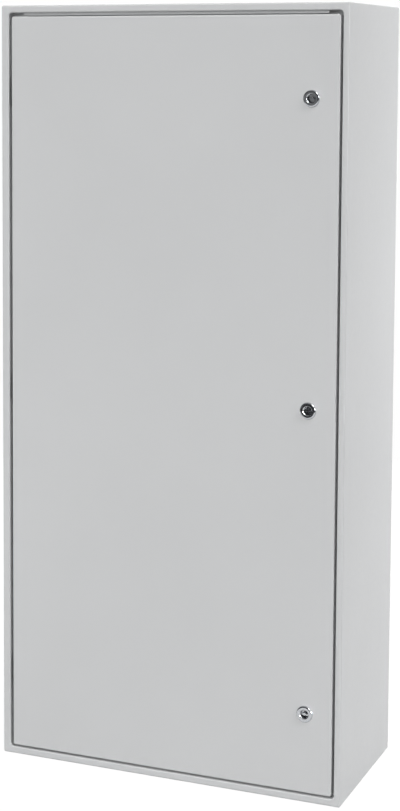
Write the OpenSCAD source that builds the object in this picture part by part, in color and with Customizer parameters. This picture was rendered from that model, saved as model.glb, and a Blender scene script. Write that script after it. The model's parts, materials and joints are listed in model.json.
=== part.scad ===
// Floor-standing sheet-steel cabinet with one flush door, three quarter-turn locks and three concealed
// hinges. X runs to the right, Y from the front to the back and Z up, with the origin in the middle of
// the base. Depths called v below are measured from the front face into the cabinet.

/* [Cabinet] */
// Width of the body
cab_w = 850; // [600:10:1100]
// Height of the body
cab_h = 1800; // [1500:10:2200]
// Depth from the front face to the back of the rear panel
cab_d = 400; // [320:10:600]
// Sheet of the body and of the frame
body_sheet = 1.5; // [1.25:0.25:2]
// Radius of the outer folds
edge_radius = 4; // [3:0.5:6]

/* [Front frame] */
// Width of the frame face round the door
frame_face = 17; // [14:0.5:40]
// Shift of the opening to the lock side, so that the hinge stile is the wider one
face_shift = 2; // [0:0.5:4]
// Depth of the frame, to the back of its gutter
frame_depth = 25; // [24:0.5:36]
// Corner radius of the door opening
opening_radius = 9; // [7:0.5:14]
// Outer radius of the folds along the gap, on the frame and on the door
fold_radius = 3; // [2.5:0.25:4]
// From the edge of the door to the outer side of the gutter lip
lip_inset = 24.5; // [22:0.5:36]
// Corner radius of the gutter lip
lip_radius = 8; // [6:0.5:16]

/* [Drip strip] */
// Front of the strip behind the front face
drip_back = 10; // [4:0.5:12]
// Gap between the strip and the top of the door
drip_clear = 2.5; // [1.5:0.25:4]
// Length of the leg that lies against the frame
drip_leg = 10; // [6:0.5:14]
// Sheet of the strip
drip_sheet = 1; // [0.8:0.1:1.5]
// From the corner of the opening to the end of the strip
drip_end = 35; // [20:1:80]

/* [Door] */
// Gap between the door and the frame at the lock side
side_gap = 6; // [4.5:0.25:8]
// Gap between the door and the frame at the hinge side
hinge_gap = 7.5; // [5:0.25:9]
// Gap under the door
bottom_gap = 5; // [3:0.25:8]
// Gap over the door
top_gap = 9; // [7:0.25:14]
// Sheet of the door
door_sheet = 2; // [1.5:0.25:2.25]
// Corner radius of the door
door_corner = 5; // [4.5:0.25:8]
// Room between the door flange and the gutter floor
flange_clear = 3.5; // [3:0.25:6]

/* [Door gasket] */
// Width of the foam strip
gasket_width = 14; // [10:0.5:16]
// Thickness of the foam strip
gasket_thick = 6; // [4:0.5:8]
// Room between the foam and the lip
gasket_clear = 0.3; // [0.2:0.1:1]

/* [Hinges] */
// Hinge axis from the edge of the door
pivot_in = 8; // [7.5:0.25:9]
// Hinge axis behind the front face
pivot_back = 8; // [7.5:0.25:9]
// From the end of the door to the middle of the outer hinges
hinge_end = 180; // [100:5:300]
// Radius of the hinge pin
pin_radius = 3; // [2:0.25:3.5]
// Running clearance round the pin
pin_play = 0.05; // [0.02:0.01:0.1]
// Room between the hinge eye and the door skin
eye_clear = 0.5; // [0.3:0.1:1]
// Height of the fixed eye
eye_height = 16; // [10:1:24]
// Height of each door lug
lug_height = 10; // [6:1:16]
// Length of the lug foot beside the eye
lug_foot = 4; // [2:0.5:4]
// Thickness of the lug foot
lug_foot_thick = 3; // [2:0.5:4]
// Room between the eye and each lug
hinge_play = 0.3; // [0.2:0.1:0.6]
// Radius of the pin head
pin_head_radius = 4.5; // [4:0.25:5.5]
// Height of the pin head
pin_head = 2; // [1:0.5:3]
// Length of the pin below the lower lug
pin_tail = 2; // [1:0.5:4]
// Thickness of the hinge foot on the gutter floor
foot_thick = 3.5; // [2.5:0.25:4]
// Width of the hinge foot
foot_width = 18; // [16:0.5:18]
// Height of the hinge foot
foot_height = 64; // [64:1:100]
// Middle of the foot beside the hinge axis
foot_offset = 3; // [2:0.25:3]
// Part of the stem towards the gap
stem_side = 2; // [1:0.25:2]
// Room above and below the foot in the door flange
notch_clear = 2; // [1:0.5:5]
// Distance between the two screws of a hinge
hinge_screw_pitch = 50; // [50:1:54]

/* [Locks] */
// Lock axis from the edge of the door
lock_inset = 64; // [60:1:72]
// Distance between the locks
lock_pitch = 692.5; // [400:2.5:750]
// Radius of the lock head
head_radius = 19; // [17:0.5:22]
// Height of the head on the door
head_proud = 5.5; // [4:0.25:8]
// Straight rim under the rounded edge of the head
head_rim = 1.5; // [0.5:0.25:2.5]
// Radius of the key recess
recess_radius = 9.5; // [8:0.25:10]
// Chamfer at the mouth of the recess
recess_chamfer = 1.5; // [0.5:0.25:2.5]
// Depth of the recess behind the front face
recess_back = 9; // [6:0.5:12]
// Radius of the barrel
barrel_radius = 13; // [12.5:0.25:15]
// Depth that the two flats take off the barrel
barrel_flat = 1; // [0.5:0.25:1.5]
// Room round the barrel in the door and in its nut
barrel_play = 0.15; // [0.1:0.05:0.3]
// Room between the end of the barrel and the cam
barrel_end_clear = 2; // [1:0.5:4]
// Nut of the barrel, across flats
barrel_nut = 32; // [31:0.5:36]
// Height of the barrel nut
barrel_nut_height = 6; // [4:0.5:8]
// Radius of the turning core
core_radius = 6.5; // [6:0.25:7]
// Running clearance round the core
core_play = 0.05; // [0.02:0.01:0.1]
// Radius of the core's disc in the recess
disc_radius = 9.1; // [8.5:0.1:9.2]
// Thickness of the disc
disc_thick = 3; // [2:0.5:4]
// Room between the disc and the bottom of the recess
disc_play = 0.2; // [0.1:0.1:0.5]
// Radius of the key pin
key_pin_radius = 3; // [2:0.25:4]
// Length of the two key wings, tip to tip
key_wings = 11; // [9:0.5:14]
// Thickness of the key wings
key_wing_thick = 3; // [2:0.5:5]
// Front of the key pin behind the rim of the head
key_pin_back = 3; // [2:0.5:5]

/* [Cams] */
// Room between the gutter and the cam
cam_clear = 1.3; // [0.8:0.1:3]
// Overlap of the locked cam with the gutter
cam_overlap = 18; // [10:0.5:20]
// Width of the cam
cam_width = 18; // [14:0.5:22]
// Sheet of the cam
cam_thick = 3; // [2:0.5:5]
// Radius of the cam's hub
cam_hub = 12; // [11:0.5:14]
// Side of the square on the core
spigot = 8; // [7:0.5:9]
// Room round the square in the cam
spigot_play = 0.1; // [0.05:0.05:0.2]
// Radius of the cam screw
cam_screw_radius = 2.5; // [2:0.25:3]
// Length of the cam screw in the core
cam_screw_bite = 10; // [6:0.5:14]
// Cam screw head, across flats
cam_screw_head = 12; // [11.5:0.5:14]
// Height of the cam screw head
cam_screw_head_height = 3.5; // [2.5:0.5:5]

/* [Door rails] */
// Middle of each rail from the edge of the door
rail_inset = 120; // [110:5:200]
// From the end of the door to the end of a rail
rail_end = 75; // [50:5:150]
// Width of the rail's web
rail_web = 24; // [18:1:40]
// Width of each foot of the rail
rail_foot = 10; // [8:0.5:14]
// Height of the rail on the door skin
rail_height = 18; // [12:0.5:24]
// Sheet of the rail
rail_sheet = 1.5; // [1:0.25:2]
// Distance between the slots
slot_pitch = 25; // [20:2.5:50]
// Width of a slot
slot_width = 6; // [4:0.5:8]
// Length of a slot
slot_length = 13; // [10:0.5:16]

/* [Rear panel] */
// Sheet of the rear panel
rear_sheet = 1.5; // [1:0.25:2]
// From the side of the body to the edge of the panel
rear_inset = 6; // [6:0.5:8]
// Width of the flange that carries the panel
rear_flange = 26; // [22:1:40]
// Screw row from the side of the body
rear_screw_inset = 15; // [13:0.5:16]
// First screw from the end of the body
rear_screw_end = 50; // [40:5:100]
// Screws along each side
rear_screws_side = 6; // [3:1:10]
// Screws along the top and along the bottom
rear_screws_end = 2; // [2:1:4]
// Radius of a panel screw, and of the hinge screws
screw_radius = 2.5; // [2:0.25:3]
// Room round a screw in its hole
screw_room = 0.25; // [0.15:0.05:0.5]
// Radius of a screw head
screw_head_radius = 4.5; // [4:0.25:5]
// Height of a screw head
screw_head = 2.5; // [1.5:0.25:3]
// Length of a screw behind the sheets
screw_tail = 4; // [2:0.5:6]

/* [Base] */
// Floor fixing holes, side to side
fixing_x = 740; // [500:10:780]
// Floor fixing holes, front to back
fixing_y = 280; // [200:10:300]
// Radius of a floor fixing hole
fixing_radius = 6; // [4:0.5:8]
// Cable opening, side to side
gland_x = 560; // [300:10:580]
// Cable opening, front to back
gland_y = 190; // [120:10:210]
// Corner radius of the cable opening
gland_radius = 12; // [6:1:20]
// Overlap of the cover plate round the opening
gland_margin = 24; // [20:1:26]
// Thickness of the seal under the cover plate
gland_seal = 2; // [1:0.5:4]
// Thickness of the cover plate
gland_sheet = 2; // [1.5:0.5:3]
// Radius of a welded stud
stud_radius = 3; // [2:0.5:4]
// Nut of the stud, across flats
stud_nut = 10; // [9:0.5:13]
// Height of the stud's nut
stud_nut_height = 5; // [3:0.5:6.5]
// Length of the stud above its nut
stud_tail = 2; // [1:0.5:4]
// Room round a stud in the plate and in its nut
stud_room = 0.2; // [0.1:0.05:0.4]
// Studs along each long side
studs_long = 4; // [3:1:6]

/* [Mounting plate] */
// From the side wall to the edge of the plate
plate_side = 33.5; // [25:0.5:60]
// From the ends of the body to the ends of the plate
plate_end = 80; // [60:5:160]
// Front of the plate from the back of the cabinet
plate_back = 75; // [60:1:150]
// Sheet of the plate
plate_sheet = 2.5; // [2:0.25:3]
// Depth of the folded ends of the plate
plate_return = 20; // [12:1:30]
// Outer radius of the plate's folds
plate_fold = 4; // [3.5:0.5:6]
// Sheet of the brackets
bracket_sheet = 3; // [2:0.5:4]
// Outer radius of the brackets' fold
bracket_fold = 5; // [4.5:0.5:7]
// Height of a bracket
bracket_height = 60; // [40:1:90]
// Leg of a bracket on the side wall
bracket_leg = 40; // [25:1:50]
// Leg of a bracket behind the plate, from the plate's edge
bracket_lap = 30; // [24:1:50]
// Outer brackets from the ends of the plate
bracket_end = 150; // [80:10:300]
// Bolts from the edge of the plate
bolt_inset = 15; // [12:0.5:18]
// Radius of the plate bolts
bolt_radius = 4; // [3:0.5:5]
// Bolt heads and nuts, across flats
bolt_flats = 13; // [12:0.5:17]
// Height of a bolt head
bolt_head = 5.3; // [4:0.1:7]
// Height of a nut
bolt_nut = 6.5; // [4:0.5:8]
// Length of a bolt behind its nut
bolt_tail = 3; // [1:0.5:8]
// Room round a bolt in the plate and in the bracket
bolt_room = 0.5; // [0.2:0.1:1]
// Room of the thread in a nut
thread_room = 0.1; // [0.05:0.05:0.2]

/* [Earth studs] */
// Radius of an earth stud
earth_radius = 4; // [3:0.5:5]
// Length of an earth stud
earth_length = 22; // [18:1:24]
// Radius of the welded foot of a stud
earth_foot_radius = 8; // [6:0.5:10]
// Height of the welded foot
earth_foot = 1.5; // [1:0.25:3]
// Nut of an earth stud, across flats
earth_nut = 13; // [12:0.5:17]
// Height of the nut
earth_nut_height = 6.5; // [5:0.5:8]
// Body stud above the floor
earth_body_up = 90; // [60:5:200]
// Body stud behind the front face
earth_body_back = 120; // [80:5:200]
// Door stud from the edges of the door
earth_door_in = 62; // [50:1:80]

/* [Hidden] */
$fn = 64;

paint = [0.78, 0.785, 0.785];
zinc = [0.70, 0.72, 0.74];
galvanised = [0.66, 0.69, 0.71];
chrome = [0.80, 0.80, 0.81];
foam = [0.10, 0.10, 0.10];

front = -cab_d / 2;
over = 1;

// Opening in the frame, and the door in it
opening_w = cab_w - 2 * frame_face;
opening_h = cab_h - 2 * frame_face;
opening_x = face_shift;
opening_z = cab_h / 2;
door_w = opening_w - hinge_gap - side_gap;
door_x = opening_x + (hinge_gap - side_gap) / 2;
door_h = opening_h - bottom_gap - top_gap;
door_z = frame_face + bottom_gap + door_h / 2;
gutter_floor = frame_depth - body_sheet;
door_flange = gutter_floor - flange_clear;
lip_front = door_sheet + gasket_thick + gasket_clear;
lip_w = door_w - 2 * lip_inset;
lip_h = door_h - 2 * lip_inset;
gasket_inset = lip_inset + body_sheet / 2 - gasket_width / 2;

// Hinge axis and heights
pivot_x = door_x - door_w / 2 + pivot_in;
hinge_low = door_z - door_h / 2 + hinge_end;
hinge_high = door_z + door_h / 2 - hinge_end;
hinge_heights = [hinge_low, door_z, hinge_high];
eye_radius = pivot_back - door_sheet - eye_clear;
pivot_floor = gutter_floor - pivot_back;
pivot_skin = pivot_back - door_sheet;

// Lock axis and heights
lock_x = door_x + door_w / 2 - lock_inset;
lock_heights = [door_z - lock_pitch, door_z, door_z + lock_pitch];
cam_front = frame_depth + cam_clear;
cam_reach = lock_inset - lip_inset - body_sheet + cam_overlap;
barrel_end = cam_front - barrel_end_clear;
disc_front = recess_back - disc_play - disc_thick;

// Rear panel and its screws
shell_back = cab_d - rear_sheet;
rear_step = (cab_h - 2 * rear_screw_end) / (rear_screws_side - 1);
rear_side_x = cab_w / 2 - rear_screw_inset;
rear_end_step = cab_w / (rear_screws_end + 1);
rear_side_points = [
    for (s = [-1, 1], i = [0:rear_screws_side - 1]) [s * rear_side_x, rear_screw_end + i * rear_step]
];
rear_end_points = [
    for (z = [rear_screw_inset, cab_h - rear_screw_inset], i = [1:rear_screws_end])
        [-cab_w / 2 + i * rear_end_step, z]
];
rear_points = concat(rear_side_points, rear_end_points);

// Cover plate of the cable opening
gland_plate_x = gland_x + 2 * gland_margin;
gland_plate_y = gland_y + 2 * gland_margin;
stud_row_x = gland_x / 2 + gland_margin / 2;
stud_row_y = gland_y / 2 + gland_margin / 2;
stud_step = 2 * stud_row_x / (studs_long - 1);
gland_points = concat(
    [for (s = [-1, 1], i = [0:studs_long - 1]) [-stud_row_x + i * stud_step, s * stud_row_y]],
    [for (s = [-1, 1]) [s * stud_row_x, 0]]
);
gland_top = body_sheet + gland_seal + gland_sheet;

// Mounting plate and its bolts
wall_x = cab_w / 2 - body_sheet;
plate_w = 2 * (wall_x - plate_side);
plate_h = cab_h - 2 * plate_end;
plate_v = cab_d - plate_back;
bracket_v = plate_v + plate_sheet;
bracket_reach = plate_side + bracket_lap;
bracket_heights = [plate_end + bracket_end, cab_h / 2, cab_h - plate_end - bracket_end];
bolt_x = plate_w / 2 - bolt_inset;
nut_v = bracket_v + bracket_sheet;

// Outline of a rectangle with round corners, w wide and h high, round the origin.
module rounded_outline(w, h, r) {
    square([w - 2 * r, h], center = true);
    square([w, h - 2 * r], center = true);
    for (sx = [-1, 1], sy = [-1, 1])
        translate([sx * (w / 2 - r), sy * (h / 2 - r)]) circle(r);
}

// An outline in the front plane as a plate between two depths.
module slab(v0, v1) {
    translate([0, front + v1, 0]) rotate([90, 0, 0]) linear_extrude(v1 - v0) children();
}

// A fold of sheet t, from a face at v = 0 to a wall at u = 0, with outer radius r.
module fold(r, t) {
    intersection() {
        translate([r, r]) difference() {
            circle(r);
            circle(r - t);
        }
        square(r);
    }
}

// A section in (u, v) carried round a rectangle w by h with corners of radius r. u runs inwards from the
// rectangle and v from the front to the back.
module swept_rim(w, h, r) {
    corner_x = [1, -1, -1, 1];
    corner_z = [1, 1, -1, -1];
    for (side = [0, 1])
        mirror([side, 0, 0]) translate([-w / 2, 0, 0])
            linear_extrude(h - 2 * r, center = true) children();
    for (end = [-1, 1])
        translate([0, 0, end * h / 2]) rotate([0, end * 90, 0])
            linear_extrude(w - 2 * r, center = true) children();
    for (k = [0:3])
        translate([corner_x[k] * (w / 2 - r), 0, corner_z[k] * (h / 2 - r)])
            rotate([90, 0, 0]) rotate([0, 0, 90 * k])
                rotate_extrude(angle = 90) translate([r, 0]) rotate(180) children();
}

// Region of the left (-1) or right (1) member between the mitred corners.
module side_region(s) {
    polygon([
        [s * (cab_w / 2 + over), -over], [0, cab_w / 2],
        [0, cab_h - cab_w / 2], [s * (cab_w / 2 + over), cab_h + over]
    ]);
}

// Region of the top (1) or bottom (-1) member between the mitred corners.
module end_region(s) {
    edge = s > 0 ? cab_h + over : -over;
    apex = s > 0 ? cab_h - cab_w / 2 : cab_w / 2;
    polygon([[-cab_w / 2 - over, edge], [cab_w / 2 + over, edge], [0, apex]]);
}

// The whole door frame: outer wall, face, return wall, gutter floor and the lip that meets the gasket.
module frame_ring() {
    translate([0, front, opening_z]) swept_rim(cab_w, cab_h, edge_radius) {
        fold(edge_radius, body_sheet);
        translate([0, edge_radius]) square([body_sheet, frame_depth - edge_radius]);
    }
    translate([opening_x, front, opening_z]) swept_rim(opening_w, opening_h, opening_radius) {
        mirror([1, 0]) fold(fold_radius, body_sheet);
        translate([-body_sheet, fold_radius]) square([body_sheet, frame_depth - fold_radius]);
    }
    slab(0, body_sheet) translate([0, opening_z]) difference() {
        square([cab_w - 2 * edge_radius, cab_h - 2 * edge_radius], center = true);
        translate([opening_x, 0]) rounded_outline(
            opening_w + 2 * fold_radius, opening_h + 2 * fold_radius, opening_radius + fold_radius
        );
    }
    slab(gutter_floor, frame_depth) difference() {
        translate([opening_x, opening_z]) rounded_outline(
            opening_w + body_sheet, opening_h + body_sheet, opening_radius + body_sheet / 2
        );
        translate([door_x, door_z]) rounded_outline(
            lip_w - 2 * body_sheet, lip_h - 2 * body_sheet, lip_radius - body_sheet
        );
    }
    slab(lip_front, gutter_floor) translate([door_x, door_z]) difference() {
        rounded_outline(lip_w, lip_h, lip_radius);
        rounded_outline(lip_w - 2 * body_sheet, lip_h - 2 * body_sheet, lip_radius - body_sheet);
    }
}

// The body wrap behind the frame, with the inward flange that carries the rear panel.
module shell_ring() {
    translate([0, front, opening_z]) swept_rim(cab_w, cab_h, edge_radius) {
        translate([0, frame_depth]) square([body_sheet, shell_back - edge_radius - frame_depth]);
        translate([0, shell_back]) mirror([0, 1]) fold(edge_radius, body_sheet);
    }
    slab(shell_back - body_sheet, shell_back) translate([0, opening_z]) difference() {
        square([cab_w - 2 * edge_radius, cab_h - 2 * edge_radius], center = true);
        square([cab_w - 2 * rear_flange, cab_h - 2 * rear_flange], center = true);
    }
}

module frame_side(s) {
    intersection() {
        frame_ring();
        slab(-over, frame_depth + over) side_region(s);
    }
}

module frame_end(s) {
    intersection() {
        frame_ring();
        slab(-over, frame_depth + over) end_region(s);
    }
}

module shell_side(s) {
    difference() {
        intersection() {
            shell_ring();
            slab(0, cab_d) side_region(s);
        }
        rear_holes();
    }
}

module shell_end(s) {
    difference() {
        intersection() {
            shell_ring();
            slab(0, cab_d) end_region(s);
        }
        rear_holes();
    }
}

module rear_holes() {
    for (p = rear_points)
        slab(shell_back - 2 * edge_radius, cab_d + over) translate(p) circle(screw_radius + screw_room);
}

// Frame and body
module frame_left_stile() {
    color(paint) difference() {
        frame_side(-1);
        hinge_screw_places() cylinder(r = screw_radius + screw_room, h = 2 * frame_depth, center = true);
    }
}

module frame_right_stile() { color(paint) frame_side(1); }

module frame_top_rail() { color(paint) frame_end(1); }

module frame_bottom_rail() { color(paint) frame_end(-1); }

module left_side_panel() { color(paint) shell_side(-1); }

module right_side_panel() { color(paint) shell_side(1); }

module roof_panel() { color(paint) shell_end(1); }

module base_panel() {
    color(paint) difference() {
        shell_end(-1);
        translate([0, 0, -over]) linear_extrude(body_sheet + 2 * over)
            rounded_outline(gland_x, gland_y, gland_radius);
        for (sx = [-1, 1], sy = [-1, 1])
            translate([sx * fixing_x / 2, sy * fixing_y / 2, -over])
                cylinder(r = fixing_radius, h = body_sheet + 2 * over);
    }
}

module rear_panel() {
    color(paint) slab(shell_back, cab_d) difference() {
        translate([0, opening_z])
            rounded_outline(cab_w - 2 * rear_inset, cab_h - 2 * rear_inset, edge_radius);
        for (p = rear_points) translate(p) circle(screw_radius + screw_room);
    }
}

module rear_panel_screws() {
    shank = rear_sheet + body_sheet + screw_tail;
    color(zinc) for (p = rear_points) translate([p[0], cab_d / 2, p[1]]) rotate([-90, 0, 0]) {
        cylinder(r = screw_head_radius, h = screw_head);
        translate([0, 0, -shank]) cylinder(r = screw_radius, h = shank + screw_head / 2);
    }
}

// Folded strip in the gap over the door
module drip_strip() {
    run = opening_w - 2 * drip_end;
    drop = top_gap - drip_clear;
    color(paint) translate([opening_x - run / 2, front + drip_back, cab_h - frame_face]) {
        translate([0, 0, -drip_sheet]) cube([run, drip_leg, drip_sheet]);
        translate([0, 0, -drop]) cube([run, drip_sheet, drop]);
    }
}

// Cable opening in the base
module gland_gasket() {
    color(foam) translate([0, 0, body_sheet]) linear_extrude(gland_seal) difference() {
        rounded_outline(gland_plate_x, gland_plate_y, gland_radius);
        rounded_outline(gland_x, gland_y, gland_radius);
        for (p = gland_points) translate(p) circle(stud_radius + stud_room);
    }
}

module gland_plate() {
    color(galvanised) translate([0, 0, body_sheet + gland_seal]) linear_extrude(gland_sheet) difference() {
        rounded_outline(gland_plate_x, gland_plate_y, gland_radius);
        for (p = gland_points) translate(p) circle(stud_radius + stud_room);
    }
}

module gland_studs() {
    top = gland_top + stud_nut_height + stud_tail;
    color(zinc) for (p = gland_points)
        translate([p[0], p[1], body_sheet]) cylinder(r = stud_radius, h = top - body_sheet);
}

module gland_nuts() {
    color(zinc) for (p = gland_points) translate([p[0], p[1], gland_top])
        hex_nut(stud_nut, stud_nut_height, stud_radius + thread_room);
}

// A hexagon nut standing on the origin, with its bore along Z.
module hex_nut(flats, height, bore) {
    difference() {
        cylinder(r = flats / sqrt(3), h = height, $fn = 6);
        translate([0, 0, -over]) cylinder(r = bore, h = height + 2 * over);
    }
}

// Mounting plate at the back, on brackets at the side walls
module bolt_places() {
    for (s = [-1, 1], z = bracket_heights)
        translate([s * bolt_x, front + plate_v, z]) rotate([-90, 0, 0]) children();
}

module mounting_plate() {
    color(galvanised) difference() {
        union() {
            slab(plate_v, plate_v + plate_sheet) translate([0, cab_h / 2])
                square([plate_w, plate_h - 2 * plate_fold], center = true);
            for (end = [-1, 1])
                translate([0, front + plate_v, cab_h / 2 + end * plate_h / 2]) rotate([0, end * 90, 0])
                    linear_extrude(plate_w, center = true) {
                        fold(plate_fold, plate_sheet);
                        translate([0, plate_fold]) square([plate_sheet, plate_return - plate_fold]);
                    }
        }
        bolt_places() cylinder(r = bolt_radius + bolt_room, h = 4 * plate_sheet, center = true);
    }
}

module plate_brackets() {
    color(zinc) difference() {
        for (side = [0, 1], z = bracket_heights)
            mirror([side, 0, 0]) translate([-wall_x, front + bracket_v, z])
                linear_extrude(bracket_height, center = true) {
                    fold(bracket_fold, bracket_sheet);
                    translate([bracket_fold, 0]) square([bracket_reach - bracket_fold, bracket_sheet]);
                    translate([0, bracket_fold]) square([bracket_sheet, bracket_leg - bracket_fold]);
                }
        bolt_places() cylinder(r = bolt_radius + bolt_room, h = plate_sheet + 2 * bracket_sheet);
    }
}

module plate_bolts() {
    shank = plate_sheet + bracket_sheet + bolt_nut + bolt_tail;
    color(zinc) bolt_places() {
        translate([0, 0, -bolt_head]) cylinder(r = bolt_flats / sqrt(3), h = bolt_head, $fn = 6);
        translate([0, 0, -bolt_head / 2]) cylinder(r = bolt_radius, h = shank + bolt_head / 2);
    }
}

module plate_nuts() {
    color(zinc) bolt_places() translate([0, 0, nut_v - plate_v])
        hex_nut(bolt_flats, bolt_nut, bolt_radius + thread_room);
}

// Earth studs: a welded foot and a stud, standing on the origin along Z.
module earth_stud() {
    cylinder(r = earth_foot_radius, h = earth_foot);
    cylinder(r = earth_radius, h = earth_length);
}

module earth_nut() {
    translate([0, 0, earth_foot]) hex_nut(earth_nut, earth_nut_height, earth_radius + thread_room);
}

module body_earth_place() {
    translate([-wall_x, front + earth_body_back, earth_body_up]) rotate([0, 90, 0]) children();
}

module door_earth_place() {
    translate([door_x - door_w / 2 + earth_door_in, front + door_sheet, door_z - door_h / 2 + earth_door_in])
        rotate([-90, 0, 0]) children();
}

module body_earth_stud() { color(zinc) body_earth_place() earth_stud(); }

module body_earth_nut() { color(zinc) body_earth_place() earth_nut(); }

module door_earth_stud() { color(zinc) door_earth_place() earth_stud(); }

module door_earth_nut() { color(zinc) door_earth_place() earth_nut(); }

// Hinges: a block with an eye on the gutter floor, two lugs on the door skin and a headed pin
module hinge_screw_places() {
    for (z = hinge_heights, s = [-1, 1])
        translate([pivot_x + foot_offset, front + gutter_floor, z + s * hinge_screw_pitch / 2])
            rotate([-90, 0, 0]) children();
}

module hinge_block(z) {
    color(zinc) difference() {
        translate([pivot_x, front + pivot_back, z]) {
            translate([foot_offset - foot_width / 2, pivot_floor - foot_thick, -foot_height / 2])
                cube([foot_width, foot_thick, foot_height]);
            linear_extrude(eye_height, center = true) {
                circle(eye_radius);
                translate([-stem_side, 0]) square([stem_side + eye_radius, pivot_floor]);
            }
        }
        translate([pivot_x, front + pivot_back, z])
            cylinder(r = pin_radius + pin_play, h = 2 * eye_height, center = true);
        hinge_screw_places()
            cylinder(r = screw_radius + screw_room, h = 3 * foot_thick, center = true);
    }
}

module hinge_screws() {
    shank = foot_thick + body_sheet + screw_tail;
    color(zinc) hinge_screw_places() {
        translate([0, 0, -foot_thick - screw_head]) cylinder(r = screw_head_radius, h = screw_head);
        translate([0, 0, -foot_thick - screw_head / 2])
            cylinder(r = screw_radius, h = shank + screw_head / 2);
    }
}

module hinge_lugs(z) {
    off = eye_height / 2 + hinge_play + lug_height / 2;
    color(zinc) for (s = [-1, 1]) translate([pivot_x, front + pivot_back, z + s * off])
        linear_extrude(lug_height, center = true) difference() {
            union() {
                circle(eye_radius);
                translate([-eye_radius, -pivot_skin]) square([2 * eye_radius, pivot_skin]);
                translate([-eye_radius, -pivot_skin]) square([2 * eye_radius + lug_foot, lug_foot_thick]);
            }
            circle(pin_radius + pin_play);
        }
}

module hinge_pin(z) {
    half = eye_height / 2 + hinge_play + lug_height;
    color(zinc) translate([pivot_x, front + pivot_back, z]) {
        translate([0, 0, -half - pin_tail]) cylinder(r = pin_radius, h = 2 * half + pin_tail + pin_head / 2);
        translate([0, 0, half]) cylinder(r = pin_head_radius, h = pin_head);
    }
}

// Door tray: skin, folded edges and flange, notched at the hinges, with a double-D hole for each lock
module door_panel() {
    notch = foot_height + 2 * notch_clear;
    color(paint) difference() {
        union() {
            translate([door_x, front, door_z]) swept_rim(door_w, door_h, door_corner) {
                fold(fold_radius, door_sheet);
                translate([0, fold_radius]) square([door_sheet, door_flange - fold_radius]);
            }
            slab(0, door_sheet) translate([door_x, door_z]) rounded_outline(
                door_w - 2 * fold_radius, door_h - 2 * fold_radius, door_corner - fold_radius
            );
        }
        for (z = hinge_heights)
            translate([door_x - door_w / 2 - over, front + door_sheet, z - notch / 2])
                cube([fold_radius + over, door_flange, notch]);
        for (z = lock_heights)
            slab(-over, door_sheet + over) translate([lock_x, z]) barrel_outline(barrel_play);
    }
}

module door_gasket() {
    color(foam) slab(door_sheet, door_sheet + gasket_thick) translate([door_x, door_z]) difference() {
        rounded_outline(door_w - 2 * gasket_inset, door_h - 2 * gasket_inset, lip_radius + gasket_width / 2);
        rounded_outline(
            door_w - 2 * (gasket_inset + gasket_width), door_h - 2 * (gasket_inset + gasket_width), lip_radius / 2
        );
    }
}

// Slotted hat rail on the inside of the door
module door_rail(s) {
    length = door_h - 2 * rail_end;
    half = rail_web / 2;
    slots = floor((length - slot_pitch) / slot_pitch);
    color(zinc) difference() {
        translate([door_x + s * (door_w / 2 - rail_inset), front + door_sheet, door_z])
            linear_extrude(length, center = true) {
                translate([-half, rail_height - rail_sheet]) square([rail_web, rail_sheet]);
                for (side = [0, 1]) mirror([side, 0]) {
                    translate([half - rail_sheet, 0]) square([rail_sheet, rail_height]);
                    translate([half - rail_sheet, 0]) square([rail_foot + rail_sheet, rail_sheet]);
                }
            }
        for (i = [0:slots])
            slab(door_sheet + rail_height / 2, door_sheet + rail_height + over)
                translate([door_x + s * (door_w / 2 - rail_inset), door_z + (i - slots / 2) * slot_pitch])
                    slot_outline();
    }
}

module slot_outline() {
    straight = slot_length - slot_width;
    square([slot_width, straight], center = true);
    for (s = [-1, 1]) translate([0, s * straight / 2]) circle(slot_width / 2);
}

module door_rail_left() { door_rail(-1); }

module door_rail_right() { door_rail(1); }

// Locks. A lock's own Z runs out of the door, with 0 in the front face.
module lock_place(z) {
    translate([lock_x, front, z]) rotate([90, 0, 0]) children();
}

module barrel_outline(room) {
    intersection() {
        circle(barrel_radius + room);
        square([2 * (barrel_radius - barrel_flat + room), 3 * barrel_radius], center = true);
    }
}

module lock_housing(z) {
    bead = head_proud - head_rim;
    color(chrome) lock_place(z) difference() {
        union() {
            rotate_extrude() {
                square([head_radius - bead, head_proud]);
                square([head_radius, head_rim]);
                intersection() {
                    translate([head_radius - bead, head_rim]) circle(bead);
                    square([head_radius, head_proud]);
                }
            }
            translate([0, 0, -barrel_end]) linear_extrude(barrel_end) barrel_outline(0);
        }
        translate([0, 0, -recess_back]) cylinder(r = recess_radius, h = recess_back + head_proud + over);
        translate([0, 0, head_proud - recess_chamfer])
            cylinder(r1 = recess_radius, r2 = recess_radius + recess_chamfer, h = recess_chamfer);
        translate([0, 0, -barrel_end - over]) cylinder(r = core_radius + core_play, h = barrel_end);
    }
}

module lock_nuts() {
    color(zinc) for (z = lock_heights) lock_place(z)
        translate([0, 0, -door_sheet - barrel_nut_height])
            hex_nut(barrel_nut, barrel_nut_height, barrel_radius + barrel_play);
}

module lock_core(z) {
    color(chrome) lock_place(z) difference() {
        union() {
            translate([0, 0, -disc_front - disc_thick]) cylinder(r = disc_radius, h = disc_thick);
            translate([0, 0, -cam_front]) cylinder(r = core_radius, h = cam_front - disc_front - disc_thick / 2);
            translate([0, 0, -cam_front - cam_thick + spigot_play])
                linear_extrude(cam_thick) square(spigot, center = true);
            translate([0, 0, -disc_front - disc_thick / 2])
                linear_extrude(disc_front + disc_thick / 2 + head_proud - key_pin_back) {
                    circle(key_pin_radius);
                    square([key_wings, key_wing_thick], center = true);
                }
        }
        translate([0, 0, -cam_front - cam_thick - over])
            cylinder(r = cam_screw_radius + thread_room, h = cam_thick + cam_screw_bite + 2 * over);
    }
}

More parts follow.
